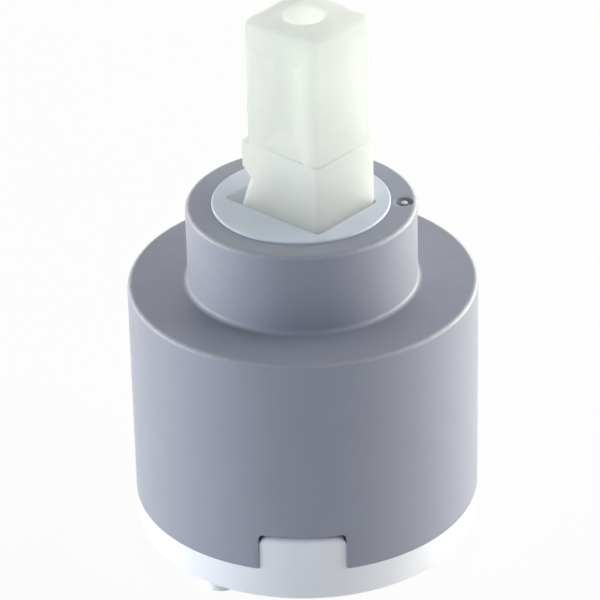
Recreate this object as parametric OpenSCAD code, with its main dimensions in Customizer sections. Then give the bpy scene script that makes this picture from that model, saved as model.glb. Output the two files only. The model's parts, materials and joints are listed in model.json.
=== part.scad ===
// Single-lever ceramic disc tap cartridge, in millimetres.
// The origin is the centre of the base's seat face and +Z runs up the cartridge's axis.
// The lever tilts in the YZ plane, with the front of the tap on the -Y side.

/* [Housing] */
// Outer diameter of the skirt
housing_d = 40; // [39:0.5:44]
// Wall thickness of the skirt
skirt_wall = 2; // [1.6:0.1:2.4]
// Thickness of the shoulder
shoulder_t = 2.5; // [2:0.1:3.5]
// Rounding of the shoulder's edge
shoulder_fillet = 0.6; // [0.4:0.1:1.4]
// Outer diameter of the neck
neck_d = 26.2; // [25.4:0.2:28]
// Height of the neck above the shoulder
neck_h = 9.75; // [8.5:0.05:11]
// Rounding of the neck's rim
neck_rim_fillet = 0.6; // [0.2:0.1:1.2]
// Rounding at the foot of the neck
neck_foot_fillet = 0.9; // [0.4:0.1:1.5]
// Width of the two notches that take the base's keys
notch_w = 10; // [7:0.5:13]
// Height of the notches above the skirt's lower edge
notch_h = 4.6; // [4:0.2:6]
// Rounding of the notches' upper corners
notch_corner_r = 1; // [0.6:0.1:1.6]
// Angle of the first notch from +X, with the second one opposite
key_angle = 39.5; // [35:0.5:55]
// Angular width of the rib that stops the turret
stop_rib_angle = 18; // [12:1:24]
// Diameter of the moulding gate's recess in the neck's rim
gate_d = 1.9; // [1.4:0.1:2.2]
// Diameter of the stub left in the gate's recess
gate_stub_d = 0.8; // [0.5:0.1:1]
// Depth of the gate's recess
gate_depth = 0.6; // [0.4:0.1:1]
// Angle of the gate from +X
gate_angle = 308.5; // [290:0.5:340]

/* [Base] */
// Height of the rim that the skirt stands on
rim_h = 4; // [3:0.25:4.5]
// How far the rim stays inside the skirt's outer face
rim_inset = 0.2; // [0.1:0.1:0.5]
// Rounding of the rim's lower edge
rim_fillet = 0.5; // [0.2:0.1:0.8]
// Thickness of the floor
floor_t = 5; // [4.6:0.2:6]
// Wall thickness of the spigot inside the skirt
spigot_wall = 1.5; // [1.2:0.1:1.8]
// How far the spigot's edge stays below the running face of the discs
spigot_drop = 0.6; // [0.3:0.1:1]
// Radius of the snap bead round the spigot
bead_r = 0.4; // [0.2:0.05:0.5]
// Diameter of the locating pegs
peg_d = 4; // [3:0.25:5.5]
// Length of the locating pegs
peg_h = 3; // [2:0.25:4]
// Bevel round the tips of the locating pegs
peg_bevel = 0.4; // [0.2:0.1:0.8]
// Distance between the locating pegs
peg_pitch = 30.6; // [28:0.2:31.4]

/* [Discs and ports] */
// Thickness of the fixed ceramic disc
fixed_disc_t = 4.5; // [4:0.25:5.5]
// Radial step from the fixed ceramic disc to the moving one
disc_step = 3.3; // [2.8:0.1:3.8]
// Thickness of the moving ceramic disc
moving_disc_t = 4.5; // [4:0.25:5.5]
// Radius on which the inlets lie
inlet_pitch_r = 7; // [6.9:0.05:7.3]
// Width of the curved inlets in the fixed disc
inlet_w = 4.4; // [3.8:0.2:4.6]
// Angle of the inlets' centres from -Y
inlet_angle = 48; // [46:1:52]
// Arc that each curved inlet follows between its round ends
inlet_arc = 20; // [14:1:22]
// Diameter of the inlets through the base
inlet_bore_d = 6.8; // [6:0.2:7]
// Diameter of the outlet through the fixed disc
outlet_d = 8; // [6.5:0.25:8.5]
// Diameter of the outlet through the base
outlet_bore_d = 8.4; // [7.4:0.2:8.8]
// Distance of the outlet behind the axis
outlet_y = 5.6; // [5.4:0.1:6]
// Sealing land between a shut inlet and the mixing chamber
port_land = 0.8; // [0.6:0.1:1.2]
// Diameter of the mixing chamber's rear lobe
chamber_d = 10; // [8.5:0.25:10.5]
// How far the rear lobe's centre stays in front of the outlet when shut
chamber_lead = 1; // [0.5:0.1:1.5]
// Width of the notches that hold the discs against turning
disc_notch_w = 4; // [3:0.25:5]
// Depth of the notches that hold the discs against turning
disc_notch_depth = 1.4; // [1:0.1:1.8]

/* [Carrier] */
// Thickness of the carrier's plate
carrier_plate_t = 3; // [2.6:0.1:4]
// Width of the carrier's guide block
block_w = 14; // [12:0.5:16]
// Length of the carrier's guide block
block_l = 18; // [15:0.5:20]
// Height of the guide block above the plate
block_h = 4.6; // [4:0.2:6]
// Floor left under the lever's socket
socket_floor_t = 1.7; // [1.2:0.1:2.2]
// How far the carrier's lugs reach down into the moving disc
lug_h = 3; // [2:0.25:3.5]

/* [Turret] */
// Diameter of the turret in the neck
turret_d = 20.1; // [19.6:0.1:20.6]
// Height of the turret's top above the neck's rim
turret_rise = 0.25; // [0.1:0.05:1]
// Wall left beyond each end of the lever's slot
slot_end_wall = 3.05; // [2.95:0.05:3.6]
// Width of the lever's slot
slot_w = 10.3; // [9.3:0.1:10.5]
// Rounding of the slot's corners
slot_corner_r = 0.6; // [0.4:0.1:1]
// Rounding of the turret's top edge
turret_edge_r = 0.15; // [0.1:0.05:0.6]
// Material over the carrier's channel
turret_web_t = 5.9; // [5:0.1:7]
// Thickness of the flange under the shoulder
flange_t = 3.5; // [2.5:0.25:4.5]
// Diameter of the hub that guides the carrier
hub_d = 28; // [26:0.5:29]
// Radial depth of the notch that meets the stop rib
stop_depth = 2.5; // [1.5:0.25:2.75]
// Turn of the lever to each side for hot and cold
turn_each_way = 50; // [35:5:60]
// Thickness of the thrust washer
washer_t = 0.5; // [0.3:0.1:1]
// Width of the thrust washer's ring
washer_w = 3.8; // [2.5:0.1:4]
// Depth of the O-ring's groove
o_ring_depth = 1; // [0.8:0.1:1.1]
// Distance of the O-ring below the turret's top
o_ring_drop = 2.8; // [2.2:0.1:3.4]

/* [Lever] */
// Height of the lever's top above the seat face
overall_h = 64.2; // [61:0.2:66.8]
// Angle that the lever tilts from shut to full flow
flow_tilt = 20; // [14:1:22]
// Diameter of the pivot pin
pin_d = 3; // [2.5:0.1:3.4]
// Depth of the pivot pin below the turret's top
pivot_depth = 7; // [6.4:0.1:7.6]
// Height of the collar's top above the turret
collar_rise = 8; // [7:0.1:9]
// Height of the collar's back end
collar_h = 3.1; // [2.5:0.1:4]
// Reach of the collar behind the pivot
collar_back = 4.6; // [4.2:0.1:5.2]
// Bevel under the collar's back end
collar_bevel = 1.2; // [0.8:0.05:1.4]
// Step from the collar's front to the stem
stem_front_step = 0.2; // [0.2:0.05:1.2]
// Step from the collar's back to the stem
stem_back_step = 0.7; // [0.3:0.05:1.5]
// Rounding of the stem's upright edges
stem_corner_r = 1.2; // [0.6:0.1:1.8]
// Rounding of the upright edges below the stem
body_corner_r = 0.7; // [0.5:0.1:1.2]
// Bevel along the front and the back of the stem's top
stem_bevel = 0.6; // [0.2:0.05:0.9]
// Bevel along the sides of the stem's top
stem_side_bevel = 0.4; // [0.2:0.05:0.9]
// Diameter of the handle screw's hole
screw_hole_d = 4.8; // [4:0.1:5.6]
// Depth of the handle screw's hole
screw_hole_depth = 13; // [8:0.5:14]
// How far the handle screw's hole lies behind the stem's middle
screw_hole_shift = 0.5; // [0:0.1:1]
// Depth of the grip pockets in the stem's sides
pocket_depth = 0.9; // [0.3:0.1:1.2]
// Length of the grip pockets along the tilt direction
pocket_l = 6.3; // [4:0.1:6.5]
// Solid band left above the grip pockets
pocket_band = 3; // [1.2:0.1:4]
// Run of the slopes at the grip pockets' ends
pocket_slope = 1.3; // [0.5:0.1:1.6]
// Depth of the lever's block below the pin
block_drop = 7.1; // [6:0.1:8]
// Width of the block at its lower end
block_foot_w = 6.4; // [5.2:0.2:7]
// Diameter of the ball that drives the carrier
ball_d = 6.4; // [5.6:0.2:6.8]
// Diameter of the arm above the ball
arm_d = 4.6; // [3.6:0.2:4.8]

/* [Seals] */
// Width of a port seal's section
seal_w = 1.1; // [0.9:0.05:1.15]
// Height of a port seal's section
seal_h = 2; // [1.6:0.1:2.1]
// How far a port seal stands out of its seat
seal_proud = 0.4; // [0.2:0.05:0.6]
// Thickness of the seal between carrier and moving disc
carrier_seal_d = 1.6; // [1.2:0.1:1.8]
// Radius of the seal between carrier and moving disc
carrier_seal_r = 8.6; // [8.4:0.1:9.4]

/* [Clearances] */
// Radial play of the turret in the neck
turn_gap = 0.1; // [0.05:0.01:0.15]
// Play of the carrier in the turret's channel
slide_gap = 0.1; // [0.05:0.01:0.2]
// Play of the lever in the slot
lever_gap = 0.15; // [0.1:0.01:0.25]
// Radial play of the lever on the pin
pin_gap = 0.05; // [0.02:0.01:0.08]
// Radial play of the pin in the turret
pin_seat_gap = 0.02; // [0.01:0.01:0.05]
// Radial play of the ball in its socket
socket_gap = 0.15; // [0.1:0.01:0.25]
// Height left under the ball in its socket
ball_lift = 0.4; // [0.3:0.05:0.6]
// Gap between the pin's ends and the neck's bore
pin_end_gap = 0.5; // [0.3:0.1:1]
// Play between pieces that are fitted together and stay still
fit_gap = 0.1; // [0.05:0.01:0.2]
// Gap over the base's keys
key_top_gap = 0.45; // [0.2:0.05:0.8]
// Radial gap between the flange and the skirt
flange_gap = 0.5; // [0.3:0.1:0.8]
// Radial gap between the stop rib and the turret
stop_rib_gap = 0.3; // [0.2:0.1:0.5]
// Turn left between the stops at the limit
stop_gap_angle = 0.6; // [0.3:0.1:1.5]

/* [Hidden] */
$fn = 64;
// How far cutters reach past the faces they open
cut = 1;
// Length of cutters that pass right through
far = 90;
// Direction in which the stop rib stands from the axis
stop_dir = 90;
// Directions of the carrier's four lugs
lug_angles = [45, 135, 225, 315];

// Radii, from the outside in
skirt_r = housing_d / 2;
bore_r = skirt_r - skirt_wall;
rim_r = skirt_r - rim_inset;
spigot_r = bore_r - fit_gap;
recess_r = spigot_r - spigot_wall;
fixed_disc_r = recess_r - fit_gap;
moving_disc_r = fixed_disc_r - disc_step;
flange_r = bore_r - flange_gap;
stop_r = flange_r - stop_depth;
neck_r = neck_d / 2;
turret_r = turret_d / 2;
neck_bore_r = turret_r + turn_gap;
gate_r = (neck_bore_r + neck_r) / 2;
washer_r = neck_bore_r + fit_gap;

// Heights, from the seat face up
skirt_z = rim_h;
notch_z = skirt_z + notch_h;
fixed_disc_z = floor_t + seal_proud;
running_z = fixed_disc_z + fixed_disc_t;
spigot_z = running_z - spigot_drop;
bead_z = (skirt_z + spigot_z) / 2;
carrier_z = running_z + moving_disc_t;
plate_z = carrier_z + carrier_plate_t;
hub_z = plate_z + slide_gap;
block_z = plate_z + block_h;
channel_z = block_z + fit_gap;
flange_z = channel_z + turret_web_t;
ceiling_z = flange_z + washer_t;
shoulder_z = ceiling_z + shoulder_t;
neck_z = shoulder_z + neck_h;
turret_z = neck_z + turret_rise;
o_ring_z = turret_z - o_ring_drop;
pivot_z = turret_z - pivot_depth;
collar_z = turret_z + collar_rise;
stem_z = overall_h;

// Lever: the ball stands at +half_travel when shut and at -half_travel at full flow
ball_r = ball_d / 2;
socket_r = ball_r + socket_gap;
socket_z = carrier_z + socket_floor_t;
ball_z = socket_z + ball_lift + ball_r;
half_tilt = flow_tilt / 2;
half_travel = (pivot_z - ball_z) * tan(half_tilt);
arm_l = (pivot_z - ball_z) / cos(half_tilt);
slot_l = turret_d - 2 * slot_end_wall;
lever_w = slot_w - 2 * lever_gap;
lever_reach = slot_l / 2 - lever_gap;
stem_front = -lever_reach + stem_front_step;
stem_back = collar_back - stem_back_step;
stem_mid = (stem_front + stem_back) / 2;
pin_l = 2 * (neck_bore_r - pin_end_gap);

// Ports: the mixing chamber's front lobe clears the inlets by port_land when shut
inlet_hw = inlet_w / 2;
outlet_r = outlet_d / 2;
chamber_front_r = inlet_pitch_r - inlet_hw - port_land;
chamber_rear_y = outlet_y - half_travel - chamber_lead;
seal_seat_depth = seal_h - seal_proud;
outlet_pos = [0, outlet_y];
groove_floor_r = turret_r - o_ring_depth;
o_ring_section_r = (neck_bore_r - groove_floor_r) / 2 - pin_seat_gap;
o_ring_mid_r = (neck_bore_r + groove_floor_r) / 2;

housing_grey = [0.53, 0.55, 0.60];
base_white = [0.90, 0.92, 0.95];
turret_white = [0.80, 0.83, 0.88];
lever_milk = [0.90, 0.92, 0.88];
carrier_white = [0.86, 0.86, 0.84];
ceramic_white = [0.95, 0.94, 0.91];
seal_black = [0.07, 0.07, 0.08];
washer_tan = [0.82, 0.78, 0.68];
pin_steel = [0.72, 0.73, 0.75];

// Heights of the collar's top and of its overhang, over the pin
collar_top_h = collar_z - pivot_z;
collar_under_h = collar_top_h - collar_h;

function polar(r, a) = [r * cos(a), r * sin(a)];
function inlet_pos(side) = polar(inlet_pitch_r, -90 + side * inlet_angle);
// Back face of the lever at height h over the pin: upright against the slot's end at full flow
function back_y(h) = (lever_reach - h * sin(flow_tilt)) / cos(flow_tilt);

// Takes the sharp corner at [x, y] off a profile, leaving an outward rounding
module round_off(x, y, r) {
    translate([x - r, y - r])
        difference() {
            square(r + cut);
            circle(r);
            translate([-cut, -cut]) square([cut, r + 2 * cut]);
            translate([-cut, -cut]) square([r + 2 * cut, cut]);
        }
}

// Fills the inner corner at [x, y] of a profile with a hollow rounding
module fill_in(x, y, r) {
    translate([x, y])
        difference() {
            square(r);
            translate([r, r]) circle(r);
        }
}

module rounded_rect(x0, x1, y0, y1, r) {
    translate([x0 + r, y0]) square([x1 - x0 - 2 * r, y1 - y0]);
    translate([x0, y0 + r]) square([x1 - x0, y1 - y0 - 2 * r]);
    for (x = [x0 + r, x1 - r], y = [y0 + r, y1 - r])
        translate([x, y]) circle(r);
}

// Wedge from the axis between two angles less than 180 degrees apart
module sector(r, a0, a1) {
    polygon([[0, 0], polar(r, a0), polar(r, (a0 + a1) / 2), polar(r, a1)]);
}

// Curved slot with round ends, on a circle of radius mid_r
module kidney(mid_r, half_w, a0, a1) {
    intersection() {
        difference() {
            circle(mid_r + half_w);
            circle(mid_r - half_w);
        }
        sector(2 * mid_r, a0, a1);
    }
    for (a = [a0, a1])
        translate(polar(mid_r, a)) circle(half_w);
}

module ring(r_in, r_out, h) {
    difference() {
        cylinder(r = r_out, h = h);
        translate([0, 0, -cut]) cylinder(r = r_in, h = h + 2 * cut);
    }
}

// Extrudes a profile drawn in Y and Z along X
module along_x(w) {
    rotate([90, 0, 90]) linear_extrude(w, center = true) children();
}

// Extrudes a profile drawn in X and Z along Y, from y0 to y1
module along_y(y0, y1) {
    translate([0, y1, 0]) rotate([90, 0, 0]) linear_extrude(y1 - y0) children();
}

// Key outline seen along the radius, standing on the seat face
module key_outline(w, top, r) {
    translate([-w / 2, 0]) square([w, top - r]);
    translate([-w / 2 + r, 0]) square([w - 2 * r, top]);
    for (x = [-w / 2 + r, w / 2 - r])
        translate([x, top - r]) circle(r);
}

module at_keys() {
    for (a = [key_angle, key_angle + 180])
        rotate([0, 0, a + 90]) children();
}

module housing_profile() {
    groove_r = bead_r + fit_gap;
    difference() {
        union() {
            translate([bore_r, skirt_z]) square([skirt_wall, shoulder_z - skirt_z]);
            translate([neck_bore_r, ceiling_z]) square([skirt_r - neck_bore_r, shoulder_t]);
            translate([neck_bore_r, ceiling_z]) square([neck_r - neck_bore_r, neck_z - ceiling_z]);
            fill_in(neck_r, shoulder_z, neck_foot_fillet);
        }
        round_off(skirt_r, shoulder_z, shoulder_fillet);
        round_off(neck_r, neck_z, neck_rim_fillet);
        translate([spigot_r, bead_z]) circle(groove_r);
    }
}

module housing() {
    stop_a0 = stop_dir - stop_rib_angle / 2;
    stop_a1 = stop_dir + stop_rib_angle / 2;
    color(housing_grey) {
        difference() {
            rotate_extrude() housing_profile();
            at_keys() along_y(-skirt_r - cut, -recess_r) key_outline(notch_w, notch_z, notch_corner_r);
            rotate([0, 0, gate_angle]) translate([gate_r, 0, neck_z - gate_depth])
                cylinder(d = gate_d, h = gate_depth + cut);
        }
        rotate([0, 0, gate_angle]) translate([gate_r, 0, neck_z - gate_depth])
            cylinder(d = gate_stub_d, h = gate_depth);
        translate([0, 0, ceiling_z - washer_t - flange_t]) linear_extrude(washer_t + flange_t)
            intersection() {
                difference() {
                    circle(bore_r + skirt_wall / 2);
                    circle(stop_r + stop_rib_gap);
                }
                sector(2 * skirt_r, stop_a0, stop_a1);
            }
    }
}

module base_profile() {
    difference() {
        union() {
            square([rim_r, rim_h]);
            square([spigot_r, spigot_z]);
            translate([spigot_r, bead_z]) circle(bead_r);
        }
        translate([0, floor_t]) square([recess_r, spigot_z]);
        translate([0, rim_h]) mirror([0, 1]) round_off(rim_r, rim_h, rim_fillet);
    }
}

// Bore of one port with a seal's seat in each face of the floor
module base_port(pos, d) {
    seat_r = d / 2 + seal_w + 2 * fit_gap;
    translate([pos[0], pos[1], 0]) {
        translate([0, 0, -cut]) cylinder(d = d, h = floor_t + 2 * cut);
        translate([0, 0, -cut]) cylinder(r = seat_r, h = seal_seat_depth + cut);
        translate([0, 0, floor_t - seal_seat_depth]) cylinder(r = seat_r, h = seal_seat_depth + cut);
    }
}

module base() {
    key_w = notch_w - 2 * fit_gap;
    key_z = notch_z - key_top_gap;
    rib_w = disc_notch_w - 2 * fit_gap;
    color(base_white) {
        difference() {
            union() {
                rotate_extrude() base_profile();
                intersection() {
                    at_keys() along_y(-rim_r, -recess_r)
                        key_outline(key_w, key_z, notch_corner_r);
                    translate([0, 0, floor_t - cut]) cylinder(r = rim_r, h = notch_z);
                }
                intersection() {
                    at_keys() along_y(-rim_r, -spigot_r + cut)
                        key_outline(key_w, key_z, notch_corner_r);
                    translate([0, 0, rim_h - cut]) cylinder(r = rim_r, h = notch_z);
                }
                for (side = [-1, 1])
                    translate([-rib_w / 2, side * recess_r - disc_notch_depth / 2, floor_t - cut])
                        cube([rib_w, disc_notch_depth, spigot_z - floor_t + cut]);
            }
            for (side = [-1, 1])
                base_port(inlet_pos(side), inlet_bore_d);
            base_port(outlet_pos, outlet_bore_d);
        }
        for (side = [-1, 1])
            translate([side * peg_pitch / 2, 0, -peg_h]) peg();
    }
}

// Peg with a bevelled tip, standing on its tip
module peg() {
    peg_r = peg_d / 2;
    top = peg_h + rim_h / 2;
    rotate_extrude()
        polygon([[0, 0], [peg_r - peg_bevel, 0], [peg_r, peg_bevel], [peg_r, top], [0, top]]);
}

module seal_ring(pos, d, z, tone) {
    seal_in = d / 2 + fit_gap;
    color(tone) translate([pos[0], pos[1], z]) ring(seal_in, seal_in + seal_w, seal_h);
}

module disc_seal(pos, d) {
    seal_ring(pos, d, floor_t - seal_seat_depth, seal_black);
}

module base_seal(pos, d) {
    seal_ring(pos, d, -seal_proud, seal_black);
}

module fixed_disc() {
    color(ceramic_white) translate([0, 0, fixed_disc_z]) linear_extrude(fixed_disc_t)
        difference() {
            circle(fixed_disc_r);
            for (side = [-1, 1])
                translate([0, side * fixed_disc_r])
                    square([disc_notch_w, 2 * disc_notch_depth], center = true);
            for (side = [-1, 1])
                kidney(inlet_pitch_r, inlet_hw, -90 + side * inlet_angle - inlet_arc / 2,
                    -90 + side * inlet_angle + inlet_arc / 2);
            translate(outlet_pos) circle(outlet_r);
        }
}

// Four places round the moving disc's edge where the carrier's lugs drive it
module at_lugs() {
    for (a = lug_angles)
        rotate([0, 0, a]) translate([moving_disc_r, 0]) children();
}

module moving_disc() {
    color(ceramic_white) translate([0, half_travel, running_z]) linear_extrude(moving_disc_t)
        difference() {
            circle(moving_disc_r);
            at_lugs() square([2 * disc_notch_depth, disc_notch_w], center = true);
            translate([0, -half_travel]) circle(chamber_front_r);
            translate([0, chamber_rear_y]) circle(d = chamber_d);
        }
}

module disc_carrier() {
    lug_w = disc_notch_w - 2 * fit_gap;
    color(carrier_white) translate([0, half_travel, 0])
        difference() {
            union() {
                translate([0, 0, carrier_z]) cylinder(r = moving_disc_r, h = carrier_plate_t);
                translate([0, 0, carrier_z - lug_h]) linear_extrude(lug_h + carrier_plate_t / 2)
                    intersection() {
                        at_lugs() square([2 * (disc_notch_depth - fit_gap), lug_w], center = true);
                        circle(moving_disc_r);
                    }
                translate([0, 0, plate_z - carrier_plate_t / 2])
                    linear_extrude(block_h + carrier_plate_t / 2)
                        intersection() {
                            square([block_w, block_l], center = true);
                            circle(moving_disc_r);
                        }
            }
            translate([0, 0, socket_z]) cylinder(r = socket_r, h = block_z);
            translate([0, 0, carrier_z]) rotate_extrude()
                translate([carrier_seal_r, 0])
                    square([carrier_seal_d + 2 * fit_gap, 2 * carrier_seal_d], center = true);
        }
}

module carrier_seal() {
    color(seal_black) translate([0, half_travel, carrier_z + carrier_seal_d / 2]) rotate_extrude()
        translate([carrier_seal_r, 0]) circle(d = carrier_seal_d);
}

module thrust_washer() {
    color(washer_tan) translate([0, 0, flange_z]) ring(washer_r, washer_r + washer_w, washer_t);
}

module turret_profile() {
    flange_bottom_z = flange_z - flange_t;
    difference() {
        union() {
            square([turret_r, turret_z]);
            square([hub_d / 2, flange_z]);
            translate([0, flange_bottom_z]) square([flange_r, flange_t]);
        }
        square([flange_r, hub_z]);
        round_off(turret_r, turret_z, turret_edge_r);
        translate([groove_floor_r, o_ring_z - o_ring_depth / 2 - fit_gap])
            square([o_ring_depth + cut, o_ring_depth + 2 * fit_gap]);
    }
}

module turret() {
    stop_a = turn_each_way + stop_rib_angle / 2 + stop_gap_angle;
    channel_w = block_w + 2 * slide_gap;
    color(turret_white)
        difference() {
            rotate_extrude() turret_profile();
            translate([0, 0, channel_z]) linear_extrude(turret_z)
                rounded_rect(-slot_w / 2, slot_w / 2, -slot_l / 2, slot_l / 2, slot_corner_r);
            translate([-channel_w / 2, -flange_r, 0])
                cube([channel_w, 2 * flange_r, channel_z]);
            translate([0, 0, pivot_z]) rotate([0, 90, 0])
                cylinder(r = pin_d / 2 + pin_seat_gap, h = far, center = true);
            translate([0, 0, flange_z - flange_t - cut]) linear_extrude(flange_t + 2 * cut)
                difference() {
                    sector(2 * flange_r, stop_dir - stop_a, stop_dir + stop_a);
                    circle(stop_r);
                }
        }
}

module turret_o_ring() {
    color(seal_black) translate([0, 0, o_ring_z]) rotate_extrude()
        translate([o_ring_mid_r, 0]) circle(o_ring_section_r);
}

module pivot_pin() {
    color(pin_steel) translate([0, 0, pivot_z]) rotate([0, 90, 0])
        cylinder(d = pin_d, h = pin_l, center = true);
}

// Side of the lever's block, drawn with the pin at the origin
module block_side() {
    arm_y = block_drop * tan(half_tilt);
    heel_h = lever_reach * (1 - cos(flow_tilt)) / sin(flow_tilt);
    difference() {
        polygon([
            [-lever_reach, collar_under_h],
            [-lever_reach, 0],
            [arm_y - block_foot_w / 2, -block_drop],
            [arm_y + block_foot_w / 2, -block_drop],
            [lever_reach - lever_gap, heel_h],
            [back_y(collar_under_h), collar_under_h]
        ]);
        circle(pin_d / 2 + pin_gap);
    }
}

// Side of the collar, drawn with the pin at the origin
module collar_side() {
    bevel_h = collar_under_h - collar_bevel;
    polygon([
        [-lever_reach, collar_top_h],
        [-lever_reach, bevel_h],
        [back_y(bevel_h), bevel_h],
        [collar_back, collar_under_h],
        [collar_back, collar_top_h]
    ]);
}

// Block that fills the slot: rounded along the upright front edges and the sloping back edges
module lever_block() {
    half_w = lever_w / 2;
    intersection() {
        along_x(lever_w) block_side();
        linear_extrude(far, center = true)
            rounded_rect(-half_w, half_w, -lever_reach, far, body_corner_r);
        rotate([flow_tilt, 0, 0]) linear_extrude(far, center = true)
            rounded_rect(-half_w, half_w, -far, lever_reach, body_corner_r);
    }
}

module lever_collar() {
    half_w = lever_w / 2;
    intersection() {
        along_x(lever_w) collar_side();
        linear_extrude(far, center = true)
            rounded_rect(-half_w, half_w, -lever_reach, collar_back, body_corner_r);
    }
}

// Upright outline with its two top corners bevelled
module bevelled_top(x0, x1, z0, z1, b) {
    polygon([[x0, z0], [x1, z0], [x1, z1 - b], [x1 - b, z1], [x0 + b, z1], [x0, z1 - b]]);
}

// Shallow recess in one side of the stem, sloping up to the face at its ends and its top
module grip_pocket() {
    face = lever_w / 2;
    floor_x = face - pocket_depth;
    foot = pocket_l / 2;
    inner = foot - pocket_slope;
    top = stem_z - pocket_band;
    intersection() {
        translate([0, stem_mid, collar_z]) linear_extrude(far)
            polygon([[floor_x, -inner], [face, -foot], [face + cut, -foot],
                [face + cut, foot], [face, foot], [floor_x, inner]]);
        along_y(-far, far)
            polygon([[0, 0], [face + cut, 0], [face + cut, top], [face, top],
                [floor_x, top - pocket_slope], [0, top - pocket_slope]]);
    }
}

module lever_stem() {
    stem_z0 = collar_z - collar_h / 2;
    half_w = lever_w / 2;
    difference() {
        intersection() {
            translate([0, 0, stem_z0]) linear_extrude(stem_z - stem_z0)
                rounded_rect(-half_w, half_w, stem_front, stem_back, stem_corner_r);
            along_y(stem_front - cut, stem_back + cut)
                bevelled_top(-half_w, half_w, stem_z0, stem_z, stem_side_bevel);
            along_x(far) bevelled_top(stem_front, stem_back, stem_z0, stem_z, stem_bevel);
        }
        translate([0, stem_mid + screw_hole_shift, stem_z - screw_hole_depth])
            cylinder(d = screw_hole_d, h = screw_hole_depth + cut);
        for (side = [0, 1])
            mirror([side, 0, 0]) grip_pocket();
    }
}

module lever() {
    color(lever_milk) {
        translate([0, 0, pivot_z]) {
            lever_block();
            lever_collar();
            rotate([half_tilt, 0, 0]) translate([0, 0, -arm_l]) cylinder(d = arm_d, h = arm_l - pin_d);
        }
        lever_stem();
        translate([0, half_travel, ball_z]) sphere(ball_r);
    }
}

housing();
base();
turret();
pivot_pin();
lever();
thrust_washer();
turret_o_ring();
disc_carrier();
carrier_seal();
moving_disc();
fixed_disc();
disc_seal(inlet_pos(-1), inlet_bore_d);  // hot_disc_seal
disc_seal(inlet_pos(1), inlet_bore_d);  // cold_disc_seal
disc_seal(outlet_pos, outlet_bore_d);  // outlet_disc_seal
base_seal(inlet_pos(-1), inlet_bore_d);  // hot_base_seal
base_seal(inlet_pos(1), inlet_bore_d);  // cold_base_seal
base_seal(outlet_pos, outlet_bore_d);  // outlet_base_seal
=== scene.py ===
"""Looks of a single-lever ceramic disc tap cartridge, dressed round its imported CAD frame.

The mouldings that show (housing, base, turret, lever) are built here ring by ring, with the soft
edges of moulded plastic, and stand for their CAD nodes. The inner pieces keep their CAD meshes. All
finishes are procedural, in millimetres of the object's own frame.
"""

import json
import math

import bmesh
import bpy
from mathutils import Matrix, Vector

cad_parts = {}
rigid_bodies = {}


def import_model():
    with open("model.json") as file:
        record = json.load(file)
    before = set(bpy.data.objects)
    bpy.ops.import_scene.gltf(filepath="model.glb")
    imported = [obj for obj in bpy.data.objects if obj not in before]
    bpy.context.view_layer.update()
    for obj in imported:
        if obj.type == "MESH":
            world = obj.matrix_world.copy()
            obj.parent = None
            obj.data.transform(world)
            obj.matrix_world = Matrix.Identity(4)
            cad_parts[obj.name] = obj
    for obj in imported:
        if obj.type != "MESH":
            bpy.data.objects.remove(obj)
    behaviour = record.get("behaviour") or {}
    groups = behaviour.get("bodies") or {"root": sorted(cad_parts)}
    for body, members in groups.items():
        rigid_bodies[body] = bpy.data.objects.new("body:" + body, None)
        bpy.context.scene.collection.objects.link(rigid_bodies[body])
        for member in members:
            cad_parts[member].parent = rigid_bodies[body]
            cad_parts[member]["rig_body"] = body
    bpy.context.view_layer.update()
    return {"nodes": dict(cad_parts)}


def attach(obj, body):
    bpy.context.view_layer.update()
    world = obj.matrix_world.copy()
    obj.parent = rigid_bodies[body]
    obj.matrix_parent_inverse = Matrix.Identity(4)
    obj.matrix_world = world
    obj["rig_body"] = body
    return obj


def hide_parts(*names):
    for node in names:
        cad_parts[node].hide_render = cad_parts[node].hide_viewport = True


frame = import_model()

MM = 0.001

# Camera, fitted to the outlines in the photograph
CAMERA_AZIMUTH = -48.5
CAMERA_ELEVATION = 29.854
CAMERA_ROLL = -1.257
CAMERA_LENS = 223.15
CAMERA_SENSOR = 36.0
CAMERA_DISTANCE = 425.107 * MM
AIM_HEIGHT = 27.917 * MM
AIM_LEFT = 0.3705 * MM

# Sizes of the mouldings in millimetres, close to those in part.scad
SKIRT_R, SKIRT_BORE_R, SKIRT_Z = 19.994, 18.0, 4.0
SHOULDER_Z, CEILING_Z, SHOULDER_FILLET = 31.0, 28.5, 0.6
NECK_R, NECK_BORE_R, NECK_Z = 13.1, 10.15, 40.75
NECK_RIM_FILLET, NECK_FOOT_FILLET = 0.6, 0.6
KEY_ANGLES = (39.5, 219.5)
NOTCH_HALF_W, NOTCH_Z, NOTCH_CORNER_R = 5.0, 8.6, 0.65
GATE_ANGLE, GATE_R, GATE_D, GATE_DEPTH, GATE_NUB_R = 308.5, 11.625, 1.9, 0.6, 0.45
STOP_RIB_R, STOP_RIB_HALF_ANGLE, STOP_DIR = 15.3, 9.0, 90.0
RIM_R, RIM_FILLET, SPIGOT_R, RECESS_R = 19.8, 0.5, 17.9, 16.4
SPIGOT_Z, FLOOR_T, KEY_HALF_W, KEY_Z, KEY_CORNER_R = 9.3, 5.0, 4.94, 8.15, 1.1
PEG_R, PEG_X, PEG_H, PEG_BEVEL = 2.0, 15.3, 3.0, 0.4
PORTS = ((-5.202, -4.684, 3.4), (5.202, -4.684, 3.4), (0.0, 5.6, 4.2))
PORT_SEAT_W, PORT_SEAT_DEPTH = 1.3, 1.6
DISC_RIB_HALF_W, DISC_RIB_HALF_T, DISC_RIB_DROP = 1.9, 0.7, 0.02
TURRET_R, TURRET_Z, TURRET_EDGE_R = 10.13, 41.0, 0.22
GROOVE_R, GROOVE_Z, GROOVE_HALF_W = 9.05, 38.2, 0.6
FLANGE_R, FLANGE_Z, FLANGE_T = 17.5, 28.0, 3.5
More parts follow.
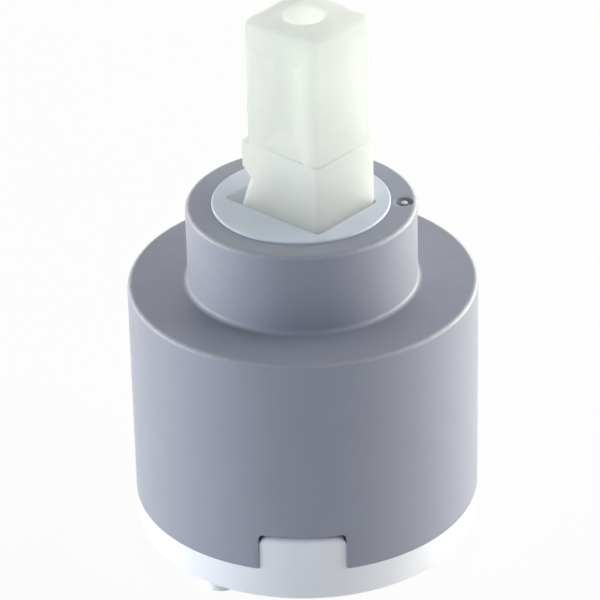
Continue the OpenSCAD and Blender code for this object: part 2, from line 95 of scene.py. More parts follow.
HUB_R, HUB_Z, CHANNEL_HALF_W, CHANNEL_Z = 14.0, 17.5, 7.1, 22.1
STOP_R, STOP_HALF_ANGLE = 15.0, 59.6
SLOT_HALF_W, SLOT_HALF_L, SLOT_CORNER_R = 5.15, 7.0, 0.6
PIVOT_Z, PIN_SEAT_R, PIN_BORE_R = 34.0, 1.52, 1.55
LEVER_HALF_W, LEVER_REACH, LEVER_CORNER_R = 5.0, 6.85, 0.7
HEEL_Y, HEEL_Z = 6.7, 35.208
COLLAR_Z, COLLAR_UNDER_Z, COLLAR_BEVEL = 49.0, 45.9, 1.2
COLLAR_BACK, COLLAR_NECK_Y = 4.6, 3.38
STEM_FRONT, STEM_BACK, STEM_Z, STEM_CORNER_R = -6.65, 3.9, 64.2, 1.2
STEM_BEVEL, STEM_SIDE_BEVEL, STEM_BEVEL_SOFTNESS = 0.6, 0.4, 0.12
STEM_CORNER_TIGHTENING, STEM_TOP_SHARE = 0.3, 0.965
COLLAR_STEP, COLLAR_STEP_FRONT, COLLAR_STEP_BACK = 0.06, 0.05, 0.12
HOLE_R, HOLE_Y, HOLE_DEPTH = 2.4, -0.875, 13.0
HOLE_TIP_R, HOLE_TIP_DEPTH = 0.1, 0.02
POCKET_DEPTH, POCKET_L, POCKET_BAND, POCKET_SLOPE = 0.9, 6.3, 3.0, 1.3
POCKET_FOOT, POCKET_SOFTNESS = 1.5, 0.22
FOOT_Z, FOOT_Y, FOOT_HALF_L = 26.9, 1.252, 3.2
BALL_R, BALL_Y, BALL_Z, ARM_R, ARM_STEP = 3.2, 2.5215, 19.7, 2.3, 0.02

# Soft edges of the mouldings in millimetres, and how finely they are built
EDGE_R = 0.15
JOINT_EDGE_R = 0.05
KEY_CROWN_R = 0.6
BORE_EDGE_R = 0.02
RIM_EDGE_R = 0.08
HOLE_EDGE_R = 0.25
NOTCH_FOOT_R = 0.15
KEY_FOOT_R = 0.12
PEG_FOOT_R = 0.25
SEAT_EDGE_R = 0.25
STEPS = 5
FILLET_STEPS = 7
NECK_RIM_STEPS = 6
KEY_CORNER_STEPS = 12
STOP_RIB_STEPS = 6
STOP_STEPS = 24
BALL_STEPS = 15
KEY_WINDOW = 20.0
KEY_COLUMNS = 120
REST_COLUMNS = 110
LATHE_COLUMNS = 220
GATE_COLUMNS = 48
PEG_COLUMNS = 72
PORT_COLUMNS = 96
PIN_COLUMNS = 64
CORNER_COLUMNS = 8
SLOT_COLUMNS = (2, 2)
LEVER_COLUMNS = (64, 24)
FINE_ROW = 0.1
CREASE_ANGLE = 38

# Aids of the mesh work in millimetres, such as how far a tool reaches past the face that it cuts
AXIS_R = 0.02
OVERSHOOT = 1.0
HAIR = 0.001
SKIRT_MID_Z = 20.0
SEAT_FACE_RINGS = (0.5, 6.0, 12.0, 17.0)
FLOOR_RINGS = (9.0, 0.5)
BALL_START_ANGLE = -88
ROUND_PLAN_R, ROUND_PLAN_CORNER_R = 3.0, 2.9
BEND_SHIFTS = (-0.15, -0.1, -0.05, 0.0, 0.05, 0.1, 0.15)

# Where the rings of housing and base pass from level to the stepped edge, and in which shares
HOUSING_BLEND_Z, HOUSING_BLEND_AWAY, HOUSING_BLEND = 12.0, 0.45, (0.0, 0.2, 0.45, 0.7)
BASE_BLEND_Z, BASE_BLEND_AWAY, BASE_BLEND = 1.9, -0.7, (0.7, 0.4, 0.0)
SPIGOT_BLEND = (0.0, 0.25, 0.5, 0.75, 1.0)

# Values of the finishes, with lengths in millimetres
NOISE_LOW, NOISE_HIGH = 0.3, 0.7
PATCH_SCALE, PIT_SCALE, PIT_STRENGTH = 1.1, 7.0, 0.35
GLOSSIER, DULLER = 0.04, 0.05
TORN_TONE, TORN_BLUR = (0.78, 0.78, 0.77), 0.1
# Tone, reach, scale and patch levels of a painted highlight along the housing's round edges
EDGE_HIGHLIGHT_TONE, EDGE_HIGHLIGHT_REACH, EDGE_HIGHLIGHT_SCALE = (0.42, 0.425, 0.445), 0.32, 2.0
EDGE_HIGHLIGHT_LOW, EDGE_HIGHLIGHT_HIGH, EDGE_HIGHLIGHT_LEAST = 0.38, 0.62, 0.3
NYLON_REACH, NYLON_IOR = 20.0, 1.45
NYLON_CLEAR_LOW, NYLON_CLEAR_HIGH, NYLON_CLEAR_Z = 0.55, 0.76, COLLAR_Z + 2.0

# Stage, with lengths in metres and powers in watts
FLOOR_Z = -PEG_H * MM
FLOOR_SIZE = 6.0
FLOOR_SEEN_SHARE = 0.93
AMBIENT = 0.02
LAMP_DISTANCE = 0.45

# Lamps: name, turn from the camera's azimuth, elevation, width, height, power, colour
LAMPS = (
    ("front_low", 0, 5, 0.30, 0.14, 0.17, (0.80, 0.89, 1.0)),
    ("left_side", -90, 5, 0.30, 0.14, 1.45, (0.96, 1.0, 0.98)),
    ("left_front", -60, 5, 0.30, 0.14, 0.50, (0.70, 0.76, 1.0)),
    ("left_back", -120, 5, 0.30, 0.14, 0.80, (1.0, 0.84, 0.64)),
    ("left_high", -90, 30, 0.30, 0.20, 0.10, (0.70, 0.82, 1.0)),
    ("right_side", 90, 5, 0.30, 0.14, 0.84, (1.0, 0.97, 0.94)),
    ("right_back", 120, 5, 0.30, 0.14, 2.10, (1.0, 0.95, 0.78)),
    ("right_high", 90, 30, 0.30, 0.20, 0.78, (0.95, 0.95, 1.0)),
    ("back_low", 180, 8, 0.40, 0.20, 0.42, (1.0, 1.0, 1.0)),
    ("overhead", 180, 75, 0.40, 0.30, 0.46, (0.92, 0.95, 1.0)),
)


# Shader helpers

def add_node(tree, kind, settings=None, **inputs):
    """Adds a shader node. A socket given as an input is linked, any other value is set."""
    made = tree.nodes.new("ShaderNode" + kind)
    for key, value in (settings or {}).items():
        setattr(made, key, value)
    for key, value in inputs.items():
        socket = made.inputs[key.replace("_", " ")]
        if isinstance(value, bpy.types.NodeSocket):
            tree.links.new(value, socket)
        else:
            socket.default_value = value
    return made


def ramp(tree, factor, low_colour, high_colour):
    """Colour that runs from one to the other as a noise value goes from low to high."""
    made = tree.nodes.new("ShaderNodeValToRGB")
    tree.links.new(factor, made.inputs["Fac"])
    stops = ((NOISE_LOW, low_colour), (NOISE_HIGH, high_colour))
    for element, (position, colour) in zip(made.color_ramp.elements, stops):
        element.position = position
        element.color = (*colour, 1.0)
    return made.outputs["Color"]


def mix_colour(tree, factor, under, over):
    """Lays a fixed colour over a colour socket by a factor.

    The Mix node repeats its sockets for each data type, so the colour ones are found by number.
    """
    made = tree.nodes.new("ShaderNodeMix")
    made.data_type = "RGBA"
    factor_input, under_input, over_input = (made.inputs[k] for k in (0, 6, 7))
    tree.links.new(factor, factor_input)
    tree.links.new(under, under_input)
    over_input.default_value = (*over, 1.0)
    return made.outputs[2]


def combine_values(tree, operation, first, second):
    """Maths node on two values, the first a socket and the second a socket or a number."""
    made = tree.nodes.new("ShaderNodeMath")
    made.operation = operation
    tree.links.new(first, made.inputs[0])
    if isinstance(second, bpy.types.NodeSocket):
        tree.links.new(second, made.inputs[1])
    else:
        made.inputs[1].default_value = second
    return made.outputs[0]


def mix_shaders(tree, factor, first, second):
    """Shader that goes from the first to the second by a factor."""
    made = tree.nodes.new("ShaderNodeMixShader")
    for socket, value in zip(made.inputs, (factor, first, second)):
        tree.links.new(value, socket)
    return made.outputs[0]


def map_range(tree, value, low, high, to_low, to_high):
    """Maps a value from one range to another, clamped."""
    made = add_node(tree, "MapRange", Value=value, From_Min=low, From_Max=high,
                    To_Min=to_low, To_Max=to_high)
    return made.outputs["Result"]


def millimetres(tree, stretch=(1.0, 1.0, 1.0)):
    """Object coordinates in millimetres, with each axis scaled by stretch."""
    coords = add_node(tree, "TexCoord").outputs["Object"]
    scale = tuple(s / MM for s in stretch)
    return add_node(tree, "Mapping", Vector=coords, Scale=scale).outputs["Vector"]


def noise(tree, vector, scale, detail=2.0, roughness=0.5):
    """Noise value with features about 1/scale millimetres wide."""
    made = add_node(tree, "TexNoise", Vector=vector, Scale=scale, Detail=detail, Roughness=roughness)
    return made.outputs["Fac"]


def new_material(name):
    """Empty node material with its shader and output."""
    material = bpy.data.materials.new(name)
    material.use_nodes = True
    tree = material.node_tree
    tree.nodes.clear()
    shader = add_node(tree, "BsdfPrincipled")
    add_node(tree, "OutputMaterial", Surface=shader.outputs["BSDF"])
    return material, tree, shader


def link(tree, socket, shader, name):
    """Links a socket to one of the shader's inputs."""
    tree.links.new(socket, shader.inputs[name])


def moulded_plastic(name, tone, shade, roughness, grain=0.02, cloud_scale=0.25):
    """Moulded plastic: cloudy tone, fine spark-eroded grain and a slightly uneven gloss."""
    material, tree, shader = new_material(name)
    mm = millimetres(tree)
    cloud = noise(tree, mm, cloud_scale, 4.0, 0.6)
    link(tree, ramp(tree, cloud, shade, tone), shader, "Base Color")
    patches = noise(tree, mm, PATCH_SCALE, 3.0)
    gloss = map_range(tree, patches, NOISE_LOW, NOISE_HIGH, roughness - GLOSSIER, roughness + DULLER)
    link(tree, gloss, shader, "Roughness")
    pits = noise(tree, mm, PIT_SCALE)
    bump = add_node(tree, "Bump", Height=pits, Strength=PIT_STRENGTH, Distance=grain * MM)
    link(tree, bump.outputs["Normal"], shader, "Normal")
    return material, tree, shader


def distance_to(tree, vector, point):
    """Distance of a vector socket from a fixed point."""
    made = add_node(tree, "VectorMath", {"operation": "DISTANCE"}, Vector=vector)
    made.inputs[1].default_value = point
    return made.outputs["Value"]


def painted_edge_highlight(tree, radius, z):
    """Factor of a painted highlight, rising to 1 in broken patches along a round edge of that radius and
    height.
    """
    mm = millimetres(tree)
    part = add_node(tree, "SeparateXYZ", Vector=mm).outputs
    flat = add_node(tree, "CombineXYZ", X=part["X"], Y=part["Y"]).outputs["Vector"]
    out = add_node(tree, "VectorMath", {"operation": "LENGTH"}, Vector=flat).outputs["Value"]
    place = add_node(tree, "CombineXYZ", X=out, Y=part["Z"]).outputs["Vector"]
    near = map_range(tree, distance_to(tree, place, (radius, z, 0.0)), 0.0, EDGE_HIGHLIGHT_REACH, 1.0, 0.0)
    broken = noise(tree, mm, EDGE_HIGHLIGHT_SCALE, 4.0, 0.7)
    patches = map_range(tree, broken, EDGE_HIGHLIGHT_LOW, EDGE_HIGHLIGHT_HIGH, EDGE_HIGHLIGHT_LEAST, 1.0)
    return combine_values(tree, "MULTIPLY", near, patches)


# Finishes

def housing_finish():
    """Satin grey acetal with a faint blue cast, pale at the torn gate, and with a painted highlight along
    its round edges.
    """
    material, tree, shader = moulded_plastic(
        "housing_grey", (0.300, 0.318, 0.380), (0.286, 0.304, 0.365), 0.48, 0.03)
    shader.inputs["Specular IOR Level"].default_value = 0.55
    plain = shader.inputs["Base Color"].links[0].from_socket
    away = distance_to(tree, millimetres(tree), polar(GATE_R, GATE_ANGLE, NECK_Z))
    torn = map_range(tree, away, GATE_NUB_R - TORN_BLUR, GATE_NUB_R + TORN_BLUR, 1.0, 0.0)
    tone = mix_colour(tree, torn, plain, TORN_TONE)
    # Lighter tone in broken patches along the shoulder's and the neck rim's round edges: a painted
    # highlight
    for radius, z, fillet in ((SKIRT_R, SHOULDER_Z, SHOULDER_FILLET), (NECK_R, NECK_Z, NECK_RIM_FILLET)):
        inset = fillet * (1 - math.sqrt(0.5))
        tone = mix_colour(tree, painted_edge_highlight(tree, radius - inset, z - inset), tone, EDGE_HIGHLIGHT_TONE)
    link(tree, tone, shader, "Base Color")
    return material


def base_finish():
    """White acetal of the base, a touch cool."""
    return moulded_plastic("base_white", (0.90, 0.915, 0.94), (0.88, 0.90, 0.93), 0.42)[0]


def turret_finish():
    """Cool white of the turret, slightly greyer than the base."""
    return moulded_plastic("turret_white", (0.67, 0.72, 0.815), (0.635, 0.685, 0.78), 0.45)[0]


def lever_finish():
    """Milky natural nylon: cloudy, faintly green, soft under the surface and denser in the block."""
    material, tree, shader = moulded_plastic(
        "lever_nylon", (0.855, 0.888, 0.856), (0.83, 0.864, 0.832), 0.84, 0.01, 0.18)
    shader.inputs["Subsurface Weight"].default_value = 1.0
    shader.inputs["Subsurface Radius"].default_value = (0.95, 1.05, 1.0)
    shader.inputs["Subsurface Scale"].default_value = NYLON_REACH * MM
    height = add_node(tree, "SeparateXYZ", Vector=millimetres(tree)).outputs["Z"]
    clear = map_range(tree, height, TURRET_Z, NYLON_CLEAR_Z, NYLON_CLEAR_LOW, NYLON_CLEAR_HIGH)
    link(tree, clear, shader, "Transmission Weight")
    shader.inputs["IOR"].default_value = NYLON_IOR
    return material


def carrier_finish():
    """Off-white carrier."""
    return moulded_plastic("carrier_white", (0.74, 0.74, 0.70), (0.69, 0.69, 0.66), 0.42)[0]


def washer_finish():
    """Tan slip washer cut from sheet."""
    return moulded_plastic("washer_tan", (0.62, 0.55, 0.42), (0.56, 0.49, 0.37), 0.5)[0]


def ceramic_finish():
    """Lapped alumina: dense, pale and nearly polished."""
    return moulded_plastic(
        "ceramic_lapped", (0.86, 0.84, 0.79), (0.83, 0.81, 0.765), 0.16, 0.004, 0.6)[0]


def seal_finish():
    """Black rubber with a dusty bloom."""
    return moulded_plastic("seal_rubber", (0.022, 0.022, 0.024), (0.014, 0.014, 0.016), 0.62, 0.03)[0]


def pin_finish():
    """Ground steel, with the grinding marks running round the pin."""
    material, tree, shader = new_material("pin_steel")
    marks = noise(tree, millimetres(tree, (9.0, 0.4, 0.4)), 1.0, 3.0)
    link(tree, ramp(tree, marks, (0.50, 0.51, 0.53), (0.60, 0.61, 0.63)), shader, "Base Color")
    link(tree, map_range(tree, marks, NOISE_LOW, NOISE_HIGH, 0.22, 0.34), shader, "Roughness")
    shader.inputs["Metallic"].default_value = 1.0
    return material


# Mesh helpers, all in millimetres

def polar(radius, degrees, z):
    """Point at a radius and an angle from +X round the axis."""
    a = math.radians(degrees)
    return (radius * math.cos(a), radius * math.sin(a), z)


def quarter(steps=STEPS):
    """Cosine and sine from 0 to 90 degrees in even steps."""
    return [(math.cos(math.pi / 2 * k / steps), math.sin(math.pi / 2 * k / steps))
            for k in range(steps + 1)]


def ring_solid(name, rings, closed=False):
    """Object whose skin runs from ring to ring. It is closed into a loop, or capped at both ends."""
    count = len(rings[0])
    points = [tuple(c * MM for c in point) for ring in rings for point in ring]
    faces = []
    for j in range(len(rings) if closed else len(rings) - 1):
        a, b = j * count, (j + 1) % len(rings) * count
        for i in range(count):
            n = (i + 1) % count
            faces.append((a + i, a + n, b + n, b + i))
    if not closed:
        faces.append(tuple(reversed(range(count))))
        faces.append(tuple(range((len(rings) - 1) * count, len(rings) * count)))
    mesh = bpy.data.meshes.new(name)
    mesh.from_pydata(points, [], faces)
    work = bmesh.new()
    work.from_mesh(mesh)
    bmesh.ops.recalc_face_normals(work, faces=work.faces)
    work.to_mesh(mesh)
    work.free()
    made = bpy.data.objects.new(name, mesh)
    bpy.context.scene.collection.objects.link(made)
    return made


def lathe_solid(name, profile, centre=(0.0, 0.0), columns=LATHE_COLUMNS):
    """Solid of revolution round an upright axis. The profile is a list of (radius, z)."""
    x, y = centre
    rings = []
    for radius, z in profile:
        ring = [polar(radius, 360.0 * i / columns, z) for i in range(columns)]
        rings.append([(px + x, py + y, pz) for px, py, pz in ring])
    return ring_solid(name, rings)


def prism(name, outline, place):
    """Straight solid between the two ends that place(point, 0) and place(point, 1) give."""
    return ring_solid(name, [[place(point, end) for point in outline] for end in (0, 1)])


def rectangle(half_x, half_y, y=0.0):
    """Corners of a rectangle centred at (0, y)."""
    return [(-half_x, y - half_y), (half_x, y - half_y), (half_x, y + half_y), (-half_x, y + half_y)]


def upright(name, outline, low, high):
    """Upright prism over an outline of (x, y)."""
    return prism(name, outline, lambda p, end: (p[0], p[1], (low, high)[end]))


def stop_sector(name, inner_r, outer_r, half_angle, half_steps, low, high):
    """Upright sector of a ring, centred on the direction of the turn's stop."""
    arc = [STOP_DIR - half_angle + half_angle / half_steps * k for k in range(2 * half_steps + 1)]
    outline = [(inner_r, a) for a in arc] + [(outer_r, a) for a in reversed(arc)]
    return prism(name, outline, lambda p, end: polar(p[0], p[1], (low, high)[end]))


def combine(target, tool, operation="DIFFERENCE"):
    """Cuts the tool out of the target, or joins it on, and removes the tool."""
    modifier = target.modifiers.new("combine", "BOOLEAN")
    modifier.object = tool
    modifier.operation = operation
    modifier.solver = "EXACT"
    graph = bpy.context.evaluated_depsgraph_get()
    mesh = bpy.data.meshes.new_from_object(target.evaluated_get(graph))
    target.modifiers.clear()
    target.data = mesh
    bpy.data.objects.remove(tool)


def dress(made, node, material):
    """Finishes a moulding's shading and puts it on its node's body in place of the node."""
    mesh = made.data
    mesh.materials.clear()
    mesh.materials.append(material)
    mesh.shade_smooth()
    mesh.set_sharp_from_angle(angle=math.radians(CREASE_ANGLE))
    weights = made.modifiers.new("even_normals", "WEIGHTED_NORMAL")
    weights.keep_sharp = True
    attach(made, frame["nodes"][node]["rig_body"])
    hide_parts(node)


# Housing and base, whose edges step round the two keys

def key_path(half_w, low, high, corner_r, foot_r, half_window, count):
    """Even points (u, z, normal u, normal z) along an edge that steps over one key, left to right.

    The normal points to the left of the path, away from the key.
    """
    line = [(-half_window, low)]
    corners = (
        (-half_w - foot_r, low + foot_r, foot_r, -90, 0),
        (-half_w + corner_r, high - corner_r, corner_r, 180, 90),
        (half_w - corner_r, high - corner_r, corner_r, 90, 0),
        (half_w + foot_r, low + foot_r, foot_r, 180, 270),
    )
    for u, z, r, start, end in corners:
        for k in range(KEY_CORNER_STEPS + 1):
            a = math.radians(start + (end - start) * k / KEY_CORNER_STEPS)
            line.append((u + r * math.cos(a), z + r * math.sin(a)))
    line.append((half_window, low))
    lengths = [math.dist(a, b) for a, b in zip(line, line[1:])]
    step = sum(lengths) / count
    found, piece, passed = [], 0, 0.0
    for k in range(count):
        wanted = k * step
        while passed + lengths[piece] < wanted:
            passed += lengths[piece]
            piece += 1
        a, b = line[piece], line[piece + 1]
        t = (wanted - passed) / lengths[piece]
        du, dz = (b[0] - a[0]) / lengths[piece], (b[1] - a[1]) / lengths[piece]
        found.append((a[0] + du * t * lengths[piece], a[1] + dz * t * lengths[piece], -dz, du))
    return found


class KeyedEdge:
    """Columns round the axis, with an edge at z = low that steps to z = high over each key."""

    def __init__(self, radius, half_w, low, high, corner_r, foot_r):
        self.radius = radius
        self.even, self.edge, self.crown = [], [], []
        half_w = radius * math.asin(half_w / radius)
        half_window = radius * math.radians(KEY_WINDOW)
        path = key_path(half_w, low, high, corner_r, foot_r, half_window, KEY_COLUMNS)
        between = KEY_ANGLES[1] - KEY_ANGLES[0] - 2 * KEY_WINDOW
        for key in KEY_ANGLES:
            for k, (u, z, nu, nz) in enumerate(path):
                self.even.append(key - KEY_WINDOW + 2 * KEY_WINDOW * k / KEY_COLUMNS)
                self.edge.append((key + math.degrees(u / radius), z, math.degrees(nu / radius), nz))
                self.crown.append(nz * nz if z > (low + high) / 2 else 0.0)
            for k in range(REST_COLUMNS):
                angle = key + KEY_WINDOW + between * k / REST_COLUMNS
                self.even.append(angle)
                self.edge.append((angle, low, 0.0, 1.0))
                self.crown.append(0.0)

    def plain(self, radius, z):
        """Level ring."""
        return [polar(radius, angle, z) for angle in self.even]

    def along(self, radius, drop, away, crown_ratio=1.0):
        """Ring along the stepped edge, dropped towards the axis and moved away from the key.

        Both moves grow to crown_ratio times as much on top of the key.
        """
        ring = []
        for (a, z, na, nz), crown in zip(self.edge, self.crown):
            more = 1.0 + (crown_ratio - 1.0) * crown
            ring.append(polar(radius - drop * more, a + na * away * more, z + nz * away * more))
        return ring

    def between(self, radius, away, z1, t):
        """Ring part of the way from the stepped edge to the level z1."""
        ring = []
        for even, (a, z, na, nz) in zip(self.even, self.edge):
            angle, height = a + na * away, z + nz * away
            ring.append(polar(radius, angle + (even - angle) * t, height + (z1 - height) * t))
        return ring


def build_housing():
    """Skirt, shoulder and neck in one closed skin, then the gate's recess and the stop rib."""
    edge = KeyedEdge(SKIRT_R, NOTCH_HALF_W, SKIRT_Z, NOTCH_Z, NOTCH_CORNER_R, NOTCH_FOOT_R)
    rings = []
    for c, s in quarter():
        rings.append(edge.along(SKIRT_R, JOINT_EDGE_R * (1 - s), JOINT_EDGE_R * (1 - c)))
    for t in HOUSING_BLEND:
        rings.append(edge.between(SKIRT_R, HOUSING_BLEND_AWAY, HOUSING_BLEND_Z, t))
    profile = [(SKIRT_R, HOUSING_BLEND_Z), (SKIRT_R, SKIRT_MID_Z)]
    for c, s in quarter(FILLET_STEPS):
        profile.append((SKIRT_R - SHOULDER_FILLET * (1 - c), SHOULDER_Z - SHOULDER_FILLET * (1 - s)))
    for c, s in quarter(FILLET_STEPS):
        profile.append((NECK_R + NECK_FOOT_FILLET * (1 - s), SHOULDER_Z + NECK_FOOT_FILLET * (1 - c)))
    for c, s in quarter(NECK_RIM_STEPS):
        profile.append((NECK_R - NECK_RIM_FILLET * (1 - c), NECK_Z - NECK_RIM_FILLET * (1 - s)))
    for c, s in quarter():
        profile.append((NECK_BORE_R + BORE_EDGE_R * (1 - s), NECK_Z - BORE_EDGE_R * (1 - c)))
    profile += [(NECK_BORE_R, CEILING_Z), (SKIRT_BORE_R, CEILING_Z), (SKIRT_BORE_R, HOUSING_BLEND_Z)]
    rings += [edge.plain(radius, z) for radius, z in profile]
    for t in reversed(HOUSING_BLEND):
        rings.append(edge.between(SKIRT_BORE_R, HOUSING_BLEND_AWAY, HOUSING_BLEND_Z, t))
    for c, s in reversed(quarter()):
        rings.append(edge.along(SKIRT_BORE_R, -EDGE_R * (1 - s), EDGE_R * (1 - c)))
    made = ring_solid("housing_moulding", rings, closed=True)
    x, y, z = polar(GATE_R, GATE_ANGLE, NECK_Z)
    half = GATE_D / 2
    recess = [(AXIS_R, 0.02), (0.22, -0.02), (GATE_NUB_R - 0.06, -0.14), (GATE_NUB_R, -0.5),
              (half - 0.22, -GATE_DEPTH), (half - 0.08, -0.45), (half, -0.2), (half + 0.06, -0.05),
              (half + 0.16, 0.005), (half + 0.16, OVERSHOOT / 2), (AXIS_R, OVERSHOOT / 2)]
    combine(made, lathe_solid("gate", [(r, z + h) for r, h in recess], (x, y), GATE_COLUMNS))
    rib = stop_sector("stop_rib", STOP_RIB_R, SKIRT_BORE_R + OVERSHOOT, STOP_RIB_HALF_ANGLE,
                      STOP_RIB_STEPS, FLANGE_Z - FLANGE_T, CEILING_Z + OVERSHOOT)
    combine(made, rib, "UNION")
    return made


def build_base():
    """Rim, keys and spigot in one closed skin, then the pegs, the disc ribs and the ports."""
    edge = KeyedEdge(RIM_R, KEY_HALF_W, SKIRT_Z, KEY_Z, KEY_CORNER_R, KEY_FOOT_R)
    rings = [edge.plain(radius, 0.0) for radius in SEAT_FACE_RINGS]
    for c, s in quarter():
        rings.append(edge.plain(RIM_R - RIM_FILLET * (1 - s), RIM_FILLET * (1 - c)))
    rings.append(edge.plain(RIM_R, BASE_BLEND_Z))
    for t in BASE_BLEND:
        rings.append(edge.between(RIM_R, BASE_BLEND_AWAY, BASE_BLEND_Z, t))
    for c, s in reversed(quarter()):
        rings.append(edge.along(RIM_R, JOINT_EDGE_R * (1 - s), -JOINT_EDGE_R * (1 - c),
                                KEY_CROWN_R / JOINT_EDGE_R))
    top_z = SPIGOT_Z - EDGE_R
    for t in SPIGOT_BLEND:
        rings.append(edge.between(SPIGOT_R, 0.0, top_z, t))
    profile = [(SPIGOT_R - EDGE_R, SPIGOT_Z), (RECESS_R + EDGE_R, SPIGOT_Z), (RECESS_R, top_z)]
    profile += [(radius, FLOOR_T) for radius in (RECESS_R, *FLOOR_RINGS)]
    rings += [edge.plain(radius, z) for radius, z in profile]
    made = ring_solid("base_moulding", rings)
    for side in (-1, 1):
        tip = PEG_R - PEG_BEVEL
        profile = [(AXIS_R, -PEG_H), (tip * 0.6, -PEG_H)]
        profile += [(tip + PEG_BEVEL * s, -PEG_H + PEG_BEVEL * (1 - c)) for c, s in quarter()]
        profile += [(PEG_R, -PEG_FOOT_R), (PEG_R + 0.08, -0.08), (PEG_R + PEG_FOOT_R, HAIR),
                    (PEG_R + PEG_FOOT_R, OVERSHOOT), (AXIS_R, OVERSHOOT)]
        combine(made, lathe_solid("peg", profile, (side * PEG_X, 0.0), PEG_COLUMNS), "UNION")
        corners = rectangle(DISC_RIB_HALF_W, DISC_RIB_HALF_T, side * RECESS_R)
        rib = upright("disc_rib", corners, FLOOR_T - OVERSHOOT, SPIGOT_Z - DISC_RIB_DROP)
        combine(made, rib, "UNION")
    for x, y, bore_r in PORTS:
        seat_r = bore_r + PORT_SEAT_W
        low, high = PORT_SEAT_DEPTH, FLOOR_T - PORT_SEAT_DEPTH
        below, above = -OVERSHOOT / 2, FLOOR_T + OVERSHOOT / 2
        profile = [(AXIS_R, below), (seat_r + 0.3, below), (seat_r + SEAT_EDGE_R, -HAIR),
                   (seat_r + 0.07, 0.07), (seat_r, SEAT_EDGE_R), (seat_r, low), (bore_r, low),
                   (bore_r, high), (seat_r, high), (seat_r, above), (AXIS_R, above)]
        combine(made, lathe_solid("port", profile, (x, y), PORT_COLUMNS))
    return made


# Turret

def rounded_rect(half_x, front, back, corner_r, z, per_side):
    """Ring round an upright rounded bar, from the front of its +X side and round by the back."""
    along_y, along_x = per_side
    mids = (half_x - corner_r, front + corner_r, back - corner_r)
    ring = []
    sides = (
        ((half_x, mids[1]), (half_x, mids[2]), along_y, (mids[0], mids[2]), 0),
        ((mids[0], back), (-mids[0], back), along_x, (-mids[0], mids[2]), 90),
        ((-half_x, mids[2]), (-half_x, mids[1]), along_y, (-mids[0], mids[1]), 180),
        ((-mids[0], front), (mids[0], front), along_x, (mids[0], mids[1]), 270),
    )
    for start, end, count, centre, angle in sides:
        for k in range(count):
            t = k / count
            ring.append((start[0] + (end[0] - start[0]) * t, start[1] + (end[1] - start[1]) * t, z))
        for k in range(CORNER_COLUMNS):
            x, y, _ = polar(corner_r, angle + 90 * k / CORNER_COLUMNS, z)
            ring.append((centre[0] + x, centre[1] + y, z))
    return ring


def across(name, radius, half_length, z):
    """Round tool that lies along X through the axis."""
    outline = [polar(radius, 360 * k / PIN_COLUMNS, 0.0)[:2] for k in range(PIN_COLUMNS)]
    return prism(name, outline, lambda p, end: (half_length * (2 * end - 1), p[0], z + p[1]))


def build_turret():
    """Turned body with flange and hub, cut by the lever's slot, the carrier's channel and the pin."""
    under_z = FLANGE_Z - FLANGE_T
    profile = [(AXIS_R, HUB_Z), (HUB_R - EDGE_R, HUB_Z), (HUB_R, HUB_Z + EDGE_R), (HUB_R, under_z),
               (FLANGE_R - EDGE_R, under_z), (FLANGE_R, under_z + EDGE_R),
               (FLANGE_R, FLANGE_Z - EDGE_R), (FLANGE_R - EDGE_R, FLANGE_Z), (TURRET_R, FLANGE_Z),
               (TURRET_R, GROOVE_Z - GROOVE_HALF_W), (GROOVE_R, GROOVE_Z - GROOVE_HALF_W),
               (GROOVE_R, GROOVE_Z + GROOVE_HALF_W), (TURRET_R, GROOVE_Z + GROOVE_HALF_W)]
    for c, s in quarter():
        profile.append((TURRET_R - TURRET_EDGE_R * (1 - c), TURRET_Z - TURRET_EDGE_R * (1 - s)))
    profile.append((AXIS_R, TURRET_Z))
    made = lathe_solid("turret_moulding", profile)
    levels = [(CHANNEL_Z - OVERSHOOT, 0.0)]
    levels += [(TURRET_Z - RIM_EDGE_R * (1 - s), RIM_EDGE_R * (1 - c)) for c, s in quarter()]
    levels += [(TURRET_Z + HAIR, RIM_EDGE_R), (TURRET_Z + OVERSHOOT, RIM_EDGE_R)]
    slot = [rounded_rect(SLOT_HALF_W + wider, -SLOT_HALF_L - wider, SLOT_HALF_L + wider,
                         SLOT_CORNER_R + wider, z, SLOT_COLUMNS) for z, wider in levels]
    combine(made, ring_solid("slot", slot))
    corners = rectangle(CHANNEL_HALF_W, FLANGE_R + OVERSHOOT)
    combine(made, upright("channel", corners, HUB_Z - OVERSHOOT, CHANNEL_Z))
    combine(made, across("pin_seat", PIN_SEAT_R, TURRET_R + OVERSHOOT, PIVOT_Z))
    combine(made, stop_sector("stop_notch", STOP_R, FLANGE_R + OVERSHOOT, STOP_HALF_ANGLE, STOP_STEPS,
                              under_z - OVERSHOOT / 2, FLANGE_Z + OVERSHOOT / 2))
    return made


# Lever

def bend(value, softness):
    """Zero below zero and the value above it, with a soft bend between."""
    return 0.5 * (value + math.sqrt(value * value + 4 * softness * softness))


def between_points(z, *points):
    """Height-to-distance line through (z, distance) points, softly bent at each of them."""
    total = 0.0
    for shift in BEND_SHIFTS:
        at = min(max(z + shift, points[0][0]), points[-1][0])
        for (z0, v0), (z1, v1) in zip(points, points[1:]):
            if at <= z1:
                total += v0 + (v1 - v0) * (at - z0) / (z1 - z0)
                break
    return total / len(BEND_SHIFTS)


def pocket_inset(y, z):
    """How far a grip pocket lies below the stem's side at that place."""
    middle = (STEM_FRONT + STEM_BACK) / 2
    across_y = (POCKET_L / 2 - abs(y - middle)) / POCKET_SLOPE
    up_z = (STEM_Z - POCKET_BAND - z) / POCKET_SLOPE
    down_z = (z - COLLAR_Z) / POCKET_FOOT
    slope = min(across_y, up_z, down_z)
    return POCKET_DEPTH * (bend(slope, POCKET_SOFTNESS) - bend(slope - 1.0, POCKET_SOFTNESS))


def rows(start, step, first, last):
    """Heights at even steps from a start, numbered from first up to last."""
    return [start + step * k for k in range(first, last + 1)]


